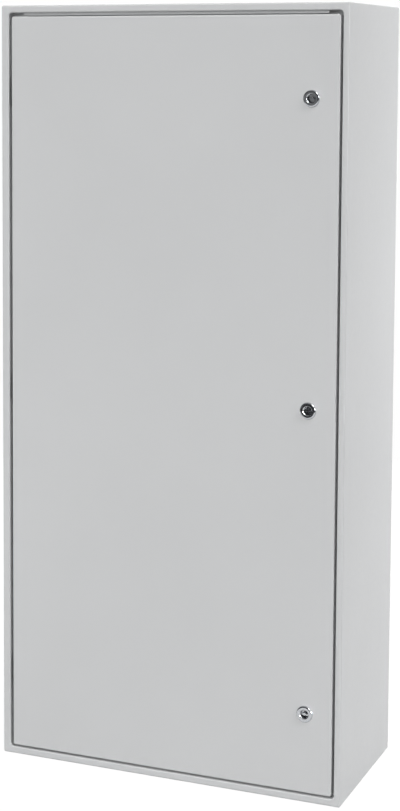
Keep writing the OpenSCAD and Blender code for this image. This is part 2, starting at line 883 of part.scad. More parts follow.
// The cam hangs down when it is unlocked.
module lock_cam(z) {
    tip = cam_reach - cam_width / 2;
    color(zinc) lock_place(z) translate([0, 0, -cam_front - cam_thick]) linear_extrude(cam_thick)
        difference() {
            union() {
                circle(cam_hub);
                translate([-cam_width / 2, -tip]) square([cam_width, tip]);
                translate([0, -tip]) circle(cam_width / 2);
            }
            square(spigot + 2 * spigot_play, center = true);
        }
}

module cam_screw(z) {
    color(zinc) lock_place(z) translate([0, 0, -cam_front - cam_thick]) {
        translate([0, 0, -cam_screw_head_height])
            cylinder(r = cam_screw_head / sqrt(3), h = cam_screw_head_height, $fn = 6);
        translate([0, 0, -cam_screw_head_height / 2])
            cylinder(r = cam_screw_radius, h = cam_screw_head_height / 2 + cam_thick + cam_screw_bite);
    }
}

frame_left_stile();
frame_right_stile();
frame_top_rail();
frame_bottom_rail();
left_side_panel();
right_side_panel();
roof_panel();
base_panel();
rear_panel();
rear_panel_screws();
drip_strip();
gland_gasket();
gland_plate();
gland_studs();
gland_nuts();
mounting_plate();
plate_brackets();
plate_bolts();
plate_nuts();
body_earth_stud();
body_earth_nut();
hinge_block(hinge_low);  // hinge_block_bottom
hinge_block(door_z);  // hinge_block_middle
hinge_block(hinge_high);  // hinge_block_top
hinge_screws();
door_panel();
door_gasket();
door_rail_left();
door_rail_right();
hinge_lugs(hinge_low);  // hinge_lugs_bottom
hinge_lugs(door_z);  // hinge_lugs_middle
hinge_lugs(hinge_high);  // hinge_lugs_top
hinge_pin(hinge_low);  // hinge_pin_bottom
hinge_pin(door_z);  // hinge_pin_middle
hinge_pin(hinge_high);  // hinge_pin_top
lock_housing(lock_heights[0]);  // lock_housing_bottom
lock_housing(lock_heights[1]);  // lock_housing_middle
lock_housing(lock_heights[2]);  // lock_housing_top
lock_nuts();
door_earth_stud();
door_earth_nut();
lock_core(lock_heights[0]);  // lock_core_bottom
lock_core(lock_heights[1]);  // lock_core_middle
lock_core(lock_heights[2]);  // lock_core_top
lock_cam(lock_heights[0]);  // lock_cam_bottom
lock_cam(lock_heights[1]);  // lock_cam_middle
lock_cam(lock_heights[2]);  // lock_cam_top
cam_screw(lock_heights[0]);  // cam_screw_bottom
cam_screw(lock_heights[1]);  // cam_screw_middle
cam_screw(lock_heights[2]);  // cam_screw_top
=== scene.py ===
"""Looks of a floor-standing sheet-steel cabinet with one flush door and three quarter-turn locks."""

import json
import math

import bmesh
import bpy
import numpy as np
from mathutils import Matrix, Vector


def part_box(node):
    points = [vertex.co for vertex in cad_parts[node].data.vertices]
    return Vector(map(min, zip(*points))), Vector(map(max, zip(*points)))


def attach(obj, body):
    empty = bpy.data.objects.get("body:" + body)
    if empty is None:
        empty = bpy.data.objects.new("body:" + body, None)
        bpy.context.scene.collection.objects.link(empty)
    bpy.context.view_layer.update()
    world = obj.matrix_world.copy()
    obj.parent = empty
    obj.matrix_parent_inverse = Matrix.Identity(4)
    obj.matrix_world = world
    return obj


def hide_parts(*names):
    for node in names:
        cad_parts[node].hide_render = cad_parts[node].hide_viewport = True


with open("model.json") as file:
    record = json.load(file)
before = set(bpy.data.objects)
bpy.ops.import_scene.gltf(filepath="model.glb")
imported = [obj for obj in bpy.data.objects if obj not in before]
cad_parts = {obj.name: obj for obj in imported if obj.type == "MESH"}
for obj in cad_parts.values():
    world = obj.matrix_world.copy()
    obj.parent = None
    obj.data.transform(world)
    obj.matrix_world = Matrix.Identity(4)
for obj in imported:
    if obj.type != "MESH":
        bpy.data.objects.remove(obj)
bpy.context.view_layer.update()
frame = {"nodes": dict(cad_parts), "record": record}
nodes = frame["nodes"]
record = frame["record"]
SLOT_OF = {part["node"]: part["material_slot"] for part in record["subparts"]}
BODY_OF = {node: body for body, group in record["behaviour"]["bodies"].items() for node in group}
LEVELS = ("bottom", "middle", "top")
FRAME_NODES = ("frame_left_stile", "frame_right_stile", "frame_top_rail", "frame_bottom_rail")
WRAP_NODES = ("left_side_panel", "right_side_panel", "roof_panel")
X, Y, Z = range(3)
MM = 0.001


def span(*group):
    """Lowest and highest corners, in millimetres, of the box round some CAD nodes."""
    boxes = np.round(np.array([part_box(node) for node in group]) / MM, 2)
    return boxes[:, 0].min(0), boxes[:, 1].max(0)


def outline(low, high, radius):
    """A rounded rectangle seen from the front: half width, half height, corner radius, middle (x, z)."""
    half_w, half_h = (high - low)[[X, Z]] / 2
    return half_w, half_h, radius, (low + high)[[X, Z]] / 2


# Lengths in millimetres, from the boxes of the CAD nodes where these give them, and else as in the part's
# source. Depth runs from the front face to the back.
frame_low, frame_high = span(*FRAME_NODES)
wrap_high = span(*WRAP_NODES)[1]
side_low, side_high = span("right_side_panel")
door_low, door_high = span("door_panel")
seal_low, seal_high = span("door_gasket")
gland_low, gland_high = span("gland_gasket")
FRONT = frame_low[Y]
SHEET = 1.5
EDGE = 4.0
FOLD = 3.0
EASE = 0.3
FRAME_DEPTH = frame_high[Y] - FRONT
SHELL_BACK = wrap_high[Y] - FRONT
REAR_FLANGE = side_high[X] - side_low[X]
DOOR_SHEET = 2.0
DOOR_FLANGE = door_high[Y] - door_low[Y]
DOOR_BORDER = 5.0
SEAL_WIDTH, SEAL_THICK = 14.0, seal_high[Y] - seal_low[Y]
SEAL_OUTER_CORNER, SEAL_INNER_CORNER = 15.0, 4.0
SEAL_CLEARANCE = 0.3
LIP_FRONT = seal_high[Y] - FRONT + SEAL_CLEARANCE
GLAND_SEAL_WIDTH, GLAND_SEAL_EASE = 24.0, 0.5

# Holes of the locks, the square patch of the door round each, and the notches that clear the hinge blocks.
locks = np.array([np.mean(span(f"lock_housing_{level}"), 0) for level in LEVELS])
LOCK_X, LOCK_HEIGHTS = locks[0, X], locks[:, Z]
LOCK_PATCH = 26.0
LOCK_HOLE_RADIUS, LOCK_HOLE_FLAT = 13.15, 12.15
LOCK_HOLE_POINTS = 48
HINGE_ROOM = 2.0
hinges = np.array([span(f"hinge_block_{level}") for level in LEVELS])
NOTCH_LOW, NOTCH_HIGH = hinges[:, 0, Z] - HINGE_ROOM, hinges[:, 1, Z] + HINGE_ROOM

# Gaps between door and opening, and how far inside the door's edge the lip of the gutter stands.
HINGE_GAP, LOCK_GAP, TOP_GAP, BOTTOM_GAP = 7.5, 6.0, 9.0, 5.0
LIP_INSET = 24.5
OPENING_CORNER, LIP_CORNER, DOOR_CORNER, GLAND_SEAL_CORNER = 9.0, 8.0, 5.0, 12.0
CABINET_OUTLINE = outline(frame_low, frame_high, EDGE)
OPENING_OUTLINE = outline(
    door_low - (HINGE_GAP, 0, BOTTOM_GAP), door_high + (LOCK_GAP, 0, TOP_GAP), OPENING_CORNER
)
LIP_OUTLINE = outline(door_low + LIP_INSET, door_high - LIP_INSET, LIP_CORNER)
DOOR_OUTLINE = outline(door_low, door_high, DOOR_CORNER)
SEAL_OUTLINE = outline(seal_low, seal_high, SEAL_OUTER_CORNER)
GLAND_SEAL_OUTLINE = outline(gland_low[[X, Z, Y]], gland_high[[X, Z, Y]], GLAND_SEAL_CORNER)

# A straight side has a point this far from each corner, so that the shading of the corner ends there, and a
# flat has a row this far from each fold.
GUARD, DOOR_GUARD, FOLD_GUARD = 60.0, 12.0, 0.6
# A corner that closes up keeps this radius, and its points become one.
LEAST_RADIUS = 1e-4
# Points closer than this, in metres, become one.
WELD = 2e-6
# Angles between faces: shaded as one surface, rounded off by ease, and taken as flat.
SMOOTH_BELOW, EASE_ABOVE, FLAT_BELOW = np.radians([32.0, 35.0, 0.4])

# Points round a screw, nut or stud.
ROUND = 36
TURN = np.arange(ROUND) * 2 * math.pi / ROUND
# Depth of a thread and chamfer at its ends, as shares of its pitch.
THREAD_DEPTH, THREAD_END = 0.55, 0.6
# Radius of a hexagon's round face as a share of its flats, and the slope that its corners are turned down at.
HEX_FACE, HEX_SLOPE = 0.475, math.tan(math.radians(30))


def linear(hex_colour):
    """Linear colour of an sRGB hex value: c / 12.92 where dark, else ((c + 0.055) / 1.055) ^ 2.4."""
    parts = np.array([int(hex_colour[i : i + 2], 16) for i in (1, 3, 5)]) / 255
    curve = np.where(parts <= 0.04045, parts / 12.92, ((parts + 0.055) / 1.055) ** 2.4)
    return (*curve.tolist(), 1.0)


def add(tree, kind, feeds=None, stops=(), **settings):
    """Adds a node with its settings, its colour stops, and for each socket a value, a node or an output."""
    node = tree.nodes.new(kind)
    for name, value in settings.items():
        setattr(node, name, value)
    for place, (position, colour) in enumerate(stops):
        band = node.color_ramp.elements
        stop = band[place] if place < len(band) else band.new(position)
        stop.position, stop.color = position, colour
    for socket, value in (feeds or {}).items():
        if isinstance(value, bpy.types.Node):
            value = value.outputs[0]
        if isinstance(value, bpy.types.NodeSocket):
            tree.links.new(value, node.inputs[socket])
        else:
            node.inputs[socket].default_value = value
    return node


def new_finish(name):
    """An empty material, its tree and its Object coordinates in metres, so a pattern's scale is 1000 / mm."""
    material = bpy.data.materials.new(name)
    material.use_nodes = True
    tree = material.node_tree
    tree.nodes.clear()
    return material, tree, add(tree, "ShaderNodeTexCoord").outputs["Object"]


def make_powder_coat():
    """Polyester powder, sprayed on steel and baked: an even light grey satin with a pebbled skin.

    The eye sees soft highlights along the folds and a tone that barely drifts over half a metre.
    """
    material, tree, where = new_finish("light_grey_powder_coat")
    drift = add(
        tree,
        "ShaderNodeTexNoise",
        {"Vector": where, "Scale": 1000 / 450, "Detail": 3.0, "Roughness": 0.55},
    )
    tone = add(
        tree, "ShaderNodeValToRGB", {"Fac": drift}, [(0.3, linear("#C3C4C5")), (0.7, linear("#C6C7C8"))]
    )
    # Thickness of the coat wanders over a finger's width, and the gloss with it.
    cloud = add(
        tree, "ShaderNodeTexNoise", {"Vector": where, "Scale": 1000 / 11, "Detail": 3.0, "Roughness": 0.6}
    )
    gloss = add(
        tree,
        "ShaderNodeMapRange",
        {"Value": cloud, "From Min": 0.3, "From Max": 0.7, "To Min": 0.40, "To Max": 0.48},
    )
    # Orange peel, 1 to 2 mm from crest to crest.
    peel = add(
        tree, "ShaderNodeTexNoise", {"Vector": where, "Scale": 1000 / 1.6, "Detail": 2.0, "Roughness": 0.45}
    )
    skin = add(tree, "ShaderNodeBump", {"Height": peel, "Distance": 0.12 * MM, "Strength": 0.35})
    surface = add(
        tree,
        "ShaderNodeBsdfPrincipled",
        {"Base Color": tone, "Roughness": gloss, "Normal": skin, "Specular IOR Level": 0.3},
    )
    add(tree, "ShaderNodeOutputMaterial", {"Surface": surface})
    return material


def make_chrome():
    """Bright chrome plate on a die-cast lock: mirror-like, with a soft grey haze from handling."""
    material, tree, where = new_finish("chrome_plate")
    haze = add(
        tree, "ShaderNodeTexNoise", {"Vector": where, "Scale": 1000 / 4.2, "Detail": 3.0, "Roughness": 0.6}
    )
    tone = add(
        tree, "ShaderNodeValToRGB", {"Fac": haze}, [(0.35, linear("#B4B6BA")), (0.7, linear("#C6C8CA"))]
    )
    gloss = add(
        tree,
        "ShaderNodeMapRange",
        {"Value": haze, "From Min": 0.3, "From Max": 0.7, "To Min": 0.07, "To Max": 0.14},
    )
    # Ripple of the polished casting under the plate, about a millimetre.
    ripple = add(tree, "ShaderNodeTexNoise", {"Vector": where, "Scale": 1000 / 1.1, "Detail": 2.0})
    skin = add(tree, "ShaderNodeBump", {"Height": ripple, "Distance": 0.02 * MM, "Strength": 0.3})
    surface = add(
        tree,
        "ShaderNodeBsdfPrincipled",
        {"Base Color": tone, "Metallic": 1.0, "Roughness": gloss, "Normal": skin},
    )
    add(tree, "ShaderNodeOutputMaterial", {"Surface": surface})
    return material


def make_zinc():
    """Zinc-plated, clear-passivated steel: a cool satin metal with faint blue and straw clouds."""
    material, tree, where = new_finish("zinc_plated_steel")
    cloud = add(
        tree, "ShaderNodeTexNoise", {"Vector": where, "Scale": 1000 / 7.7, "Detail": 4.0, "Roughness": 0.6}
    )
    tone = add(
        tree,
        "ShaderNodeValToRGB",
        {"Fac": cloud},
        [(0.3, linear("#A9B0B8")), (0.5, linear("#BEC1C4")), (0.72, linear("#C6C3B8"))],
    )
    gloss = add(
        tree,
        "ShaderNodeMapRange",
        {"Value": cloud, "From Min": 0.3, "From Max": 0.7, "To Min": 0.26, "To Max": 0.42},
    )
    # Grain of the plated steel is finer than 0.1 mm; drawn at 0.7 mm so that it shows.
    grit = add(tree, "ShaderNodeTexNoise", {"Vector": where, "Scale": 1000 / 0.7, "Detail": 2.0})
    skin = add(tree, "ShaderNodeBump", {"Height": grit, "Distance": 0.03 * MM, "Strength": 0.4})
    surface = add(
        tree,
        "ShaderNodeBsdfPrincipled",
        {"Base Color": tone, "Metallic": 1.0, "Roughness": gloss, "Normal": skin},
    )
    add(tree, "ShaderNodeOutputMaterial", {"Surface": surface})
    return material


def make_galvanised():
    """Hot-dip galvanised sheet: zinc crystals about 13 mm across, each with its own grey and gloss."""
    material, tree, where = new_finish("galvanised_sheet")
    wander = add(tree, "ShaderNodeTexNoise", {"Vector": where, "Scale": 1000 / 18, "Detail": 3.0})
    # A Mix node has its two vectors at sockets 4 and 5, and their mix at output 1.
    bent = add(
        tree,
        "ShaderNodeMix",
        {"Factor": 0.012, 4: where, 5: wander.outputs["Color"]},
        data_type="VECTOR",
    )
    crystals = add(tree, "ShaderNodeTexVoronoi", {"Vector": bent.outputs[1], "Scale": 1000 / 13.3})
    grey = add(tree, "ShaderNodeRGBToBW", {"Color": crystals.outputs["Color"]})
    tone = add(
        tree,
        "ShaderNodeValToRGB",
        {"Fac": grey},
        [(0.15, linear("#9DA4A9")), (0.5, linear("#AEB4B8")), (0.9, linear("#C2C6C8"))],
    )
    gloss = add(tree, "ShaderNodeMapRange", {"Value": grey, "To Min": 0.30, "To Max": 0.48})
    skin = add(tree, "ShaderNodeBump", {"Height": grey, "Distance": 0.04 * MM, "Strength": 0.5})
    surface = add(
        tree,
        "ShaderNodeBsdfPrincipled",
        {"Base Color": tone, "Metallic": 0.9, "Roughness": gloss, "Normal": skin},
    )
    add(tree, "ShaderNodeOutputMaterial", {"Surface": surface})
    return material


def make_foam():
    """Polyurethane foam, cast in place as a seal: a matt black skin with pores under a millimetre."""
    material, tree, where = new_finish("black_foam_seal")
    mottle = add(tree, "ShaderNodeTexNoise", {"Vector": where, "Scale": 1000 / 6, "Detail": 4.0})
    tone = add(
        tree, "ShaderNodeValToRGB", {"Fac": mottle}, [(0.3, linear("#1B1B1C")), (0.7, linear("#2A2A2B"))]
    )
    gloss = add(
        tree,
        "ShaderNodeMapRange",
        {"Value": mottle, "From Min": 0.3, "From Max": 0.7, "To Min": 0.78, "To Max": 0.92},
    )
    pores = add(tree, "ShaderNodeTexVoronoi", {"Vector": where, "Scale": 1000 / 0.7})
    skin = add(tree, "ShaderNodeBump", {"Height": pores, "Distance": 0.4 * MM, "Strength": 0.6})
    surface = add(
        tree, "ShaderNodeBsdfPrincipled", {"Base Color": tone, "Roughness": gloss, "Normal": skin}
    )
    add(tree, "ShaderNodeOutputMaterial", {"Surface": surface})
    return material


FINISHES = {
    "body_paint": make_powder_coat(),
    "chrome": make_chrome(),
    "zinc_steel": make_zinc(),
    "galvanised_sheet": make_galvanised(),
    "foam_seal": make_foam(),
}


def put_in_place(name, mesh, stands_for):
    """Makes a mesh a piece, with the body and the finish of the nodes that it stands for."""
    slot = SLOT_OF[stands_for[0]]
    mesh.materials.append(FINISHES[slot])
    obj = bpy.data.objects.new(name, mesh)
    bpy.context.scene.collection.objects.link(obj)
    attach(obj, BODY_OF[stands_for[0]])
    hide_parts(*stands_for)
    return obj


def close_mesh(work, name):
    """Merge the doubled points of a mesh in the making, turn its faces outwards and shade it smooth."""
    bmesh.ops.remove_doubles(work, verts=work.verts, dist=WELD)
    bmesh.ops.dissolve_degenerate(work, edges=work.edges, dist=WELD / 2)
    bmesh.ops.recalc_face_normals(work, faces=work.faces)
    mesh = bpy.data.meshes.new(name)
    work.to_mesh(mesh)
    work.free()
    mesh.shade_smooth()
    return mesh


def piece(name, points, faces, stands_for):
    """A new closed piece from points in millimetres and blocks of faces; only its sharper edges show."""
    cells = [cell for block in faces for cell in block.tolist()]
    rough = bpy.data.meshes.new("rough")
    rough.from_pydata((points.reshape(-1, 3) * MM).tolist(), [], cells)
    work = bmesh.new()
    work.from_mesh(rough)
    bpy.data.meshes.remove(rough)
    mesh = close_mesh(work, name)
    mesh.set_sharp_from_angle(angle=SMOOTH_BELOW)
    return put_in_place(name, mesh, stands_for)


def grid_faces(rows, columns, closed_rows, closed_columns):
    """Indices of the corners of each cell of a grid; a closed way runs from its last line to its first."""
    i, j = np.meshgrid(
        np.arange(rows - 1 + closed_rows), np.arange(columns - 1 + closed_columns), indexing="ij"
    )
    below, beside = (i + 1) % rows, (j + 1) % columns
    corners = [i * columns + j, i * columns + beside, below * columns + beside, below * columns + j]
    return np.stack(corners, -1)


def bend(centre, radius, start, stop, steps=8):
    """Points of a fold in a section: centre plus radius times (cos t, sin t), t in degrees."""
    t = np.radians(np.linspace(start, stop, steps + 1))
    return np.stack([centre[0] + radius * np.cos(t), centre[1] + radius * np.sin(t)], 1)


def rim(shape, section, shrink=1.0, steps=8, xs=None, zs=None):
    """Carries a section round a rounded rectangle; gives points by row of the section and place on the rim.

    A row (u, v) lies u inside the outline and v behind the front face. There both half sides are u
    smaller and the corner radius is shrink times u smaller. A corner point is the centre of its corner plus
    that radius times (cos t, sin t). The sides have points at the places xs and zs, measured from the middle,
    or else near their corners. The rim starts half way round the lower left corner and runs up the left side.
    """
    half_w, half_h, radius, middle = shape
    across = np.array([GUARD - half_w, half_w - GUARD]) if xs is None else xs
    up = np.array([GUARD - half_h, half_h - GUARD]) if zs is None else zs
    u, v = np.asarray(section, float).T[:, :, None]
    wide, high = half_w - u, half_h - u
    round_off = np.maximum(radius - shrink * u, LEAST_RADIUS)
    quarter = np.linspace(0, math.pi / 2, steps + 1)
    half = quarter[: steps // 2 + 1]

    def corner(side, end, start, sweep):
        x = side * (wide - round_off) + round_off * np.cos(start - sweep)
        z = end * (high - round_off) + round_off * np.sin(start - sweep)
        return x, z

    runs = [
        corner(-1, -1, 1.25 * math.pi, half),
        (-wide + 0 * up, up + 0 * wide),
        corner(-1, 1, math.pi, quarter),
        (across + 0 * wide, high + 0 * across),
        corner(1, 1, 0.5 * math.pi, quarter),
        (wide + 0 * up, up[::-1] + 0 * wide),
        corner(1, -1, 0.0, quarter),
        (across[::-1] + 0 * wide, -high + 0 * across),
        corner(-1, -1, 1.5 * math.pi, half[:-1]),
    ]
    x = np.concatenate([run[0] for run in runs], 1) + middle[0]
    z = np.concatenate([run[1] for run in runs], 1) + middle[1]
    return np.stack([x, FRONT + v + 0 * x, z], -1)


def ring_piece(name, rows, stands_for):
    """A piece whose section is closed and runs all the way round."""
    faces = grid_faces(rows.shape[0], rows.shape[1], True, True)
    return piece(name, rows, [faces.reshape(-1, 4)], stands_for)


def make_frame():
    """Frame round the door, one folded section: outer wall, face, return, gutter floor and lip.

    The outer side of the section goes first, then its inner side a sheet further in. Rows of the return
    lie outside the opening's outline, so their u is negative.
    """
    outward = (-1, 1)
    wall = [
        [(0.0, FRAME_DEPTH), (0.0, EDGE + FOLD_GUARD)],
        bend((EDGE, EDGE), EDGE, 180, 270),
        [(EDGE + FOLD_GUARD, 0.0)],
    ]
    turned_in = [
        [(FOLD + FOLD_GUARD, 0.0)],
        bend((FOLD, FOLD), FOLD, 270, 180),
        [(0.0, FOLD + FOLD_GUARD), (0.0, FRAME_DEPTH - SHEET)],
    ]
    lip = [
        (0.0, FRAME_DEPTH - SHEET),
        (0.0, LIP_FRONT + EASE),
        (EASE, LIP_FRONT),
        (SHEET - EASE, LIP_FRONT),
        (SHEET, LIP_FRONT + EASE),
        (SHEET, FRAME_DEPTH),
    ]
    behind = [
        [(SHEET, FRAME_DEPTH), (SHEET, FOLD)],
        bend((FOLD, FOLD), FOLD - SHEET, 180, 270, steps=4)[1:],
    ]
    inside = [bend((EDGE, EDGE), EDGE - SHEET, 270, 180, steps=4), [(SHEET, FRAME_DEPTH)]]
    rows = [
        rim(CABINET_OUTLINE, np.concatenate(wall)),
        rim(OPENING_OUTLINE, np.concatenate(turned_in) * outward),
        rim(LIP_OUTLINE, lip),
        rim(OPENING_OUTLINE, np.concatenate(behind) * outward),
        rim(CABINET_OUTLINE, np.concatenate(inside)),
    ]
    ring_piece("door_frame", np.concatenate(rows), FRAME_NODES)


def make_wrap():
    """Sides and roof in one sheet behind the frame, with a flange turned in at the back.

    Only the rim from the middle of the lower left corner over the roof to the lower right one is kept, and
    both ends are closed.
    """
    middle = (EDGE, SHELL_BACK - EDGE)
    section = [
        [(0.0, FRAME_DEPTH), (0.0, SHELL_BACK - EDGE - FOLD_GUARD)],
        bend(middle, EDGE, 180, 90),
        [(EDGE + FOLD_GUARD, SHELL_BACK), (REAR_FLANGE, SHELL_BACK), (REAR_FLANGE, SHELL_BACK - SHEET)],
        bend(middle, EDGE - SHEET, 90, 180, steps=4),
        [(SHEET, FRAME_DEPTH)],
    ]
    steps = 8
    half_corner, corner, side = steps // 2 + 1, steps + 1, 2
    keep = half_corner + side + corner + side + corner + side + half_corner
    rows = rim(CABINET_OUTLINE, np.concatenate(section), steps=steps)[:, :keep]
    sheet = grid_faces(len(rows), keep, True, False).reshape(-1, 4)
    end = np.arange(len(rows)) * keep
    ends = np.stack([end, end + keep - 1])
    piece("body_wrap", rows, [sheet, ends], WRAP_NODES)


def door_flat(depth, xs, zs):
    """One flat face of the door as cells between the places xs and zs, with the holes of the locks.

    A hole is a circle whose x is held between two flats. Triangles join its points to the corners of the
    cell round it, a quarter of them to each corner. Gives points, faces and the points of each hole.
    """
    x, z = np.meshgrid(xs, zs)
    cells = grid_faces(len(zs), len(xs), False, False)
    column = np.searchsorted(xs, LOCK_X - LOCK_PATCH)
    rows = np.searchsorted(zs, LOCK_HEIGHTS - LOCK_PATCH)
    plain = np.ones(cells.shape[:2], bool)
    plain[rows, column] = False
    t = np.arange(LOCK_HOLE_POINTS) * 2 * math.pi / LOCK_HOLE_POINTS
    hole_x = LOCK_X + np.clip(LOCK_HOLE_RADIUS * np.cos(t), -LOCK_HOLE_FLAT, LOCK_HOLE_FLAT)
    hole_z = LOCK_HEIGHTS[:, None] + LOCK_HOLE_RADIUS * np.sin(t)
    every_x = np.concatenate([x.ravel(), np.tile(hole_x, len(LOCK_HEIGHTS))])
    every_z = np.concatenate([z.ravel(), hole_z.ravel()])
    points = np.stack([every_x, np.full(len(every_x), FRONT + depth), every_z], 1)
    holes = x.size + np.arange(hole_z.size).reshape(hole_z.shape)
    # Corners of a lock's cell, from the upper right one round, as the hole's points go.
    corners = cells[rows, column][:, [2, 3, 0, 1]]
    quarter = LOCK_HOLE_POINTS // 4
    nearest = np.repeat(corners, quarter, 1)
    fans = np.stack([nearest, holes, np.roll(holes, -1, 1)], -1)
    turns = np.stack([corners, np.roll(holes, -quarter, 1)[:, ::quarter], np.roll(corners, -1, 1)], -1)
    return points, [cells[plain], fans.reshape(-1, 3), turns.reshape(-1, 3)], holes


def make_door():
    """Door leaf: a folded tray with a hole for each lock and a notch in the left flange for each hinge.

    The section of its border runs from the front face round the fold and the flange to the back face; a row
    of the fold lies level with the back face, because the notches start there.
    """
    mid_x, mid_z = DOOR_OUTLINE[3]
    (left, _, bottom), (right, _, top) = door_low + DOOR_GUARD, door_high - DOOR_GUARD
    xs = np.array([left, LOCK_X - LOCK_PATCH, LOCK_X + LOCK_PATCH, right])
    patches = [LOCK_HEIGHTS - LOCK_PATCH, LOCK_HEIGHTS + LOCK_PATCH]
    zs = np.sort(np.concatenate([*patches, NOTCH_LOW, NOTCH_HIGH, [bottom, top]]))
    t = np.linspace(0, math.pi / 2, 9)
    back_row = 6
    t[back_row] = math.acos(1 - DOOR_SHEET / FOLD)
    section = [
        [(DOOR_BORDER, 0.0), (FOLD + FOLD_GUARD, 0.0)],
        np.stack([FOLD * (1 - np.sin(t)), FOLD * (1 - np.cos(t))], 1),
        [(0.0, FOLD + FOLD_GUARD), (0.0, DOOR_FLANGE - EASE), (EASE, DOOR_FLANGE)],
        [(DOOR_SHEET - EASE, DOOR_FLANGE), (DOOR_SHEET, DOOR_FLANGE - EASE), (DOOR_SHEET, FOLD)],
        bend((FOLD, FOLD), FOLD - DOOR_SHEET, 180, 270, steps=4)[1:],
        [(DOOR_BORDER, DOOR_SHEET)],
    ]
    section = np.concatenate(section)
    steps = 6
    border = rim(DOOR_OUTLINE, section, steps=steps, xs=xs - mid_x, zs=zs - mid_z)
    count = border.shape[1]
    cells = grid_faces(len(section), count, False, True)
    kept = np.ones(cells.shape[:2], bool)
    # A notch takes out the flange between two rows of the section and two places on the left side.
    first, last = len(section[:2]) + back_row, len(section) - 2
    faces = []
    for start, stop in zip(np.searchsorted(zs, NOTCH_LOW), np.searchsorted(zs, NOTCH_HIGH)):
        a, b = steps // 2 + 1 + start, steps // 2 + 1 + stop
        kept[first:last, a:b] = False
        near, far = first * count + np.arange(a, b), last * count + np.arange(a, b)
        edge = np.stack([near, near + 1, far + 1, far], 1)
        sides = np.arange(first, last + 1) * count + np.array([[a], [b]])
        faces += [edge, sides]
    faces.append(cells[kept])
    points = [border.reshape(-1, 3)]
    total = border.size // 3
    (left, _, bottom), (right, _, top) = door_low + DOOR_BORDER, door_high - DOOR_BORDER
    flat_xs, flat_zs = np.array([left, *xs, right]), np.array([bottom, *zs, top])
    rings = []
    for depth in (0.0, DOOR_SHEET):
        flat, blocks, holes = door_flat(depth, flat_xs, flat_zs)
        points.append(flat)
        faces += [block + total for block in blocks]
        rings.append(holes + total)
        total += len(flat)
    near, far = rings
    walls = np.stack([near, np.roll(near, -1, 1), np.roll(far, -1, 1), far], -1)
    faces.append(walls.reshape(-1, 4))
    piece("door_leaf", np.concatenate(points), faces, ("door_panel",))


def make_door_seal():
    """Foam strip round the back of the door, domed: thickness times (1 - |s|^p)^(1/p), s from -1 to 1."""
    power = 2.6
    s = np.sin(np.linspace(-math.pi / 2, math.pi / 2, 15))
    dome = (1 - np.abs(s) ** power) ** (1 / power)
    section = np.stack([SEAL_WIDTH * (s + 1) / 2, DOOR_SHEET + SEAL_THICK * dome], 1)
    rows = rim(SEAL_OUTLINE, section, (SEAL_OUTER_CORNER - SEAL_INNER_CORNER) / SEAL_WIDTH)
    ring_piece("door_seal", rows, ("door_gasket",))


def make_gland_seal():
    """Flat foam ring under the cover plate of the cable opening, its edges eased by quarter circles.

    The section is given as (u, height); the rim is worked out upright and then laid on the base.
    """
    r, inner = GLAND_SEAL_EASE, GLAND_SEAL_WIDTH - GLAND_SEAL_EASE
    low, high = gland_low[Z] + r - FRONT, gland_high[Z] - r - FRONT
    section = [
        bend((r, low), r, 270, 180, 2),
        bend((r, high), r, 180, 90, 2),
        bend((inner, high), r, 90, 0, 2),
        bend((inner, low), r, 0, -90, 2),
    ]
    rows = rim(GLAND_SEAL_OUTLINE, np.concatenate(section), 0.0)
    ring_piece("gland_seal", rows[..., [X, Z, Y]], ("gland_gasket",))


def solid_boxes(node):
    """Lowest and highest corners, in millimetres, of each separate solid of a CAD node.

    Points at one place count as one. Each takes the lowest number among the corners of its faces, over and
    over, until every solid has a number of its own.
    """
    mesh = nodes[node].data
    points = np.empty(len(mesh.vertices) * 3)
    mesh.vertices.foreach_get("co", points)
    points = points.reshape(-1, 3) / MM
    loose = np.empty(len(mesh.loops), int)
    mesh.loops.foreach_get("vertex_index", loose)
    places, same = np.unique(np.round(points, 3), axis=0, return_inverse=True)
    faces = same.ravel()[loose].reshape(-1, 3)
    number, before = np.arange(len(places)), None
    while not np.array_equal(number, before):
        before = number.copy()
        np.minimum.at(number, faces, before[faces].min(1)[:, None])
    return [(places[number == k].min(0), places[number == k].max(0)) for k in np.unique(number)]


def spun(box, axis, sign, rings, closed=False):
    """Turns a profile about an axis of a box: each ring is (radius, height), height from the tail end.

    A point is the axis plus radius times (cos t, sin t). Both numbers of a ring may change with t; t = 0
    points along the wider side of the box, where a hexagon has a corner.
    """
    low, high = box
    wide, narrow = sorted((i for i in range(3) if i != axis), key=lambda i: low[i] - high[i])
    radius, height = (np.stack([np.broadcast_to(ring[k], ROUND) for ring in rings]) for k in (0, 1))
    points = np.tile((low + high) / 2, (*radius.shape, 1))
    points[..., axis] = (low if sign > 0 else high)[axis] + sign * height
    points[..., wide] += radius * np.cos(TURN)
    points[..., narrow] += radius * np.sin(TURN)
    faces = [grid_faces(len(rings), ROUND, closed, True).reshape(-1, 4)]
    if not closed:
        faces.append(np.arange(ROUND) + np.array([[0], [(len(rings) - 1) * ROUND]]))
    return points.reshape(-1, 3), faces


def hexagon(flats):
    """Radius of a hexagon at each angle: half its flats over the cosine of the angle from a flat's middle."""
    return flats / 2 / np.cos(TURN % (math.pi / 3) - math.pi / 6)


def thread(radius, start, stop, pitch):
    """A thread drawn as closed ridges: crests at the radius, and half way between them deeper roots."""
    turns = int((stop - start) / pitch)
    height = np.append(start + pitch / 2 * np.arange(2 * turns), stop)
    depth = np.append(np.tile([0.0, THREAD_DEPTH * pitch], turns), 0.0)
    return list(zip(radius - depth, height))


